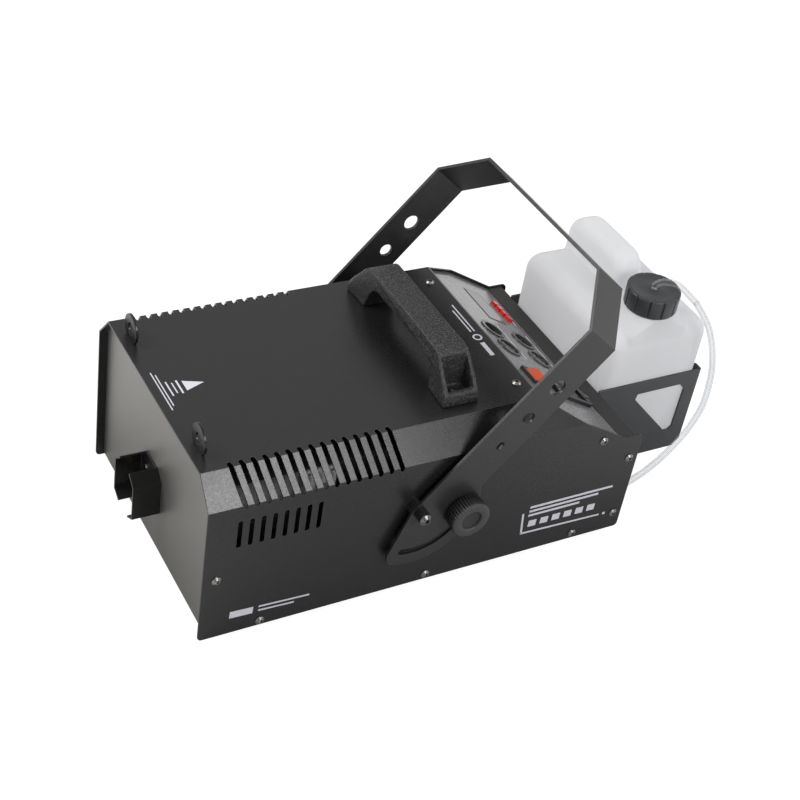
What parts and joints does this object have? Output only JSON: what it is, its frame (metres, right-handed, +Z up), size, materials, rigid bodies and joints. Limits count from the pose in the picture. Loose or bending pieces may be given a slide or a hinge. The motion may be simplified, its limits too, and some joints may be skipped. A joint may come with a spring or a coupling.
{
  "type": "fog machine",
  "caption": "Fog machine in a bent black steel cover with a tilting hanging yoke, clamp knobs, carry handle, sloping control panel and a rear fluid bottle fed by a clear hose.",
  "frame": {"origin": "on the floor under the rubber feet, at the centre of the overall width and length, 261.75 mm behind the cover's front edge", "axes": "+Z up, +Y from the fog nozzle towards the fluid bottle, +X to the right as seen from the nozzle end looking towards the bottle"},
  "size_m": [0.3, 0.5584, 0.2936],
  "materials": {
    "body_black": "fine-textured satin black powder coat",
    "panel_black": "smooth semi-gloss black paint",
    "yoke_black": "satin black paint",
    "handle_black": "grained black moulding",
    "screw_nickel": "bright nickel plate",
    "steel": "bare zinc-plated steel",
    "shield_alu": "bare sheet aluminium",
    "block_alu": "machined cast aluminium",
    "jacket_fibre": "off-white ceramic fibre felt",
    "copper": "drawn copper tube",
    "brass": "turned brass",
    "gold": "gold-plated contacts",
    "knob_black": "satin black phenolic",
    "socket_shell": "black-plated die casting",
    "plastic_black": "semi-gloss black plastic",
    "button_red": "red button caps",
    "rocker_orange": "translucent orange-red rocker",
    "latch_clear": "smoky translucent latch",
    "display_glass": "clear display window",
    "pcb_green": "solder-resist circuit board and parts",
    "bottle_natural": "natural translucent polyethylene",
    "cap_grey": "dark grey ribbed plastic",
    "tube_clear": "clear flexible tube",
    "dip_clear": "translucent tube",
    "filter_grey": "sintered filter",
    "rubber_black": "black rubber",
    "pump_blue": "dark lacquered pump frame",
    "spring_steel": "spring wire",
    "wire_mix": "insulated wiring",
    "terminal_grey": "light grey moulded terminal block",
    "hose_silicone": "translucent silicone hose"
  },
  "bodies": {
    "chassis": {"cover_shell": "body_black", "base_tray": "body_black", "control_panel": "panel_black", "bottle_cradle": "yoke_black", "terminal_block": "terminal_grey", "cover_screws": "screw_nickel", "carry_handle": "handle_black", "hanging_eyes": "yoke_black", "nozzle_shroud": "yoke_black", "small_screws": "screw_nickel", "nozzle": "brass", "heater_block": "block_alu", "heating_elements": "steel", "heater_jacket": "jacket_fibre", "heater_brackets": "steel", "thermal_switches": "plastic_black", "heat_shield": "shield_alu", "pump_body": "pump_blue", "pump_spring": "spring_steel", "pump_bracket": "steel", "outlet_pipe": "copper", "suction_hose": "hose_silicone", "hose_fitting": "brass", "fluid_hose": "tube_clear", "main_board": "pcb_green", "board_components": "plastic_black", "board_standoffs": "steel", "display_window": "display_glass", "panel_board": "pcb_green", "dmx_in_3pin": "socket_shell", "dmx_out_3pin": "socket_shell", "dmx_in_5pin": "socket_shell", "dmx_out_5pin": "socket_shell", "contact_pins": "gold", "mains_inlet": "plastic_black", "switch_housing": "plastic_black", "rubber_feet": "rubber_black", "pivot_bolts": "screw_nickel", "yoke_spacers": "plastic_black", "clamp_studs": "steel", "wiring": "wire_mix"},
    "yoke": {"yoke": "yoke_black"},
    "right_washer": {"washer_right": "steel"},
    "left_washer": {"washer_left": "steel"},
    "right_knob": {"knob_right": "knob_black"},
    "left_knob": {"knob_left": "knob_black"},
    "bottle": {"bottle": "bottle_natural"},
    "pickup": {"cap_seal": "rubber_black", "dip_tube": "dip_clear", "pickup_filter": "filter_grey"},
    "cap": {"bottle_cap": "cap_grey"},
    "menu_button_1": {"menu_button_1": "button_red"},
    "menu_button_2": {"menu_button_2": "button_red"},
    "menu_button_3": {"menu_button_3": "button_red"},
    "menu_button_4": {"menu_button_4": "button_red"},
    "latch_3pin": {"latch_3pin": "latch_clear"},
    "latch_5pin": {"latch_5pin": "latch_clear"},
    "fuse_drawer": {"fuse_drawer": "plastic_black"},
    "rocker": {"rocker": "rocker_orange"},
    "piston": {"pump_piston": "spring_steel"}
  },
  "joints": [
    {"name": "yoke_tilt", "type": "hinge", "parent": "chassis", "child": "yoke", "pos_m": [0, -0.07155, 0.1014], "axis": [1, 0, 0], "range_deg": [-8.5, 90.5]},
    {"name": "right_washer_advance", "type": "slide", "parent": "chassis", "child": "right_washer", "axis": [1, 0, 0], "range_m": [0, 0.00201]},
    {"name": "right_knob_turn", "type": "hinge", "parent": "right_washer", "child": "right_knob", "pos_m": [0.14, -0.02742, 0.09162], "axis": [1, 0, 0], "range_deg": [0, 720]},
    {"name": "left_washer_advance", "type": "slide", "parent": "chassis", "child": "left_washer", "axis": [-1, 0, 0], "range_m": [0, 0.00201]},
    {"name": "left_knob_turn", "type": "hinge", "parent": "left_washer", "child": "left_knob", "pos_m": [-0.14, -0.02742, 0.09162], "axis": [-1, 0, 0], "range_deg": [0, 720]},
    {"name": "bottle_lift", "type": "slide", "parent": "chassis", "child": "bottle", "axis": [0, 0, 1], "range_m": [0, 0.13], "deforming": ["fluid_hose"]},
    {"name": "cap_rise", "type": "slide", "parent": "bottle", "child": "pickup", "axis": [0, 0, 1], "range_m": [0, 0.00801], "deforming": ["fluid_hose"]},
    {"name": "cap_turn", "type": "hinge", "parent": "pickup", "child": "cap", "pos_m": [0.033, 0.21425, 0.196], "axis": [0, 0, 1], "range_deg": [0, 720]},
    {"name": "rocker_tip", "type": "hinge", "parent": "chassis", "child": "rocker", "pos_m": [0.0598, 0.07656, 0.15504], "axis": [1, 0, 0], "range_deg": [-40, 0]},
    {"name": "fuse_drawer_pull", "type": "slide", "parent": "chassis", "child": "fuse_drawer", "axis": [0, 0.5033, 0.8641], "range_m": [0, 0.022]},
    {"name": "latch_3pin_press", "type": "slide", "parent": "chassis", "child": "latch_3pin", "axis": [0, -0.5033, -0.8641], "range_m": [0, 0.0015]},
    {"name": "latch_5pin_press", "type": "slide", "parent": "chassis", "child": "latch_5pin", "axis": [0, -0.5033, -0.8641], "range_m": [0, 0.0015]},
    {"name": "piston_stroke", "type": "slide", "parent": "chassis", "child": "piston", "axis": [0, 0, 1], "range_m": [0, 0.004], "stiffness_N_per_m": 600, "springref_m": -0.002, "deforming": ["pump_spring"]},
    {"name": "menu_button_1_press", "type": "slide", "parent": "chassis", "child": "menu_button_1", "axis": [0, -0.5033, -0.8641], "range_m": [0, 0.0008]},
    {"name": "menu_button_2_press", "type": "slide", "parent": "chassis", "child": "menu_button_2", "axis": [0, -0.5033, -0.8641], "range_m": [0, 0.0008]},
    {"name": "menu_button_3_press", "type": "slide", "parent": "chassis", "child": "menu_button_3", "axis": [0, -0.5033, -0.8641], "range_m": [0, 0.0008]},
    {"name": "menu_button_4_press", "type": "slide", "parent": "chassis", "child": "menu_button_4", "axis": [0, -0.5033, -0.8641], "range_m": [0, 0.0008]}
  ],
  "couplings": [
    {"joint": "right_washer_advance", "follows": "right_knob_turn", "m_per_rad": 0.00015915},
    {"joint": "left_washer_advance", "follows": "left_knob_turn", "m_per_rad": 0.00015915},
    {"joint": "cap_rise", "follows": "cap_turn", "m_per_rad": 0.00063662}
  ]
}
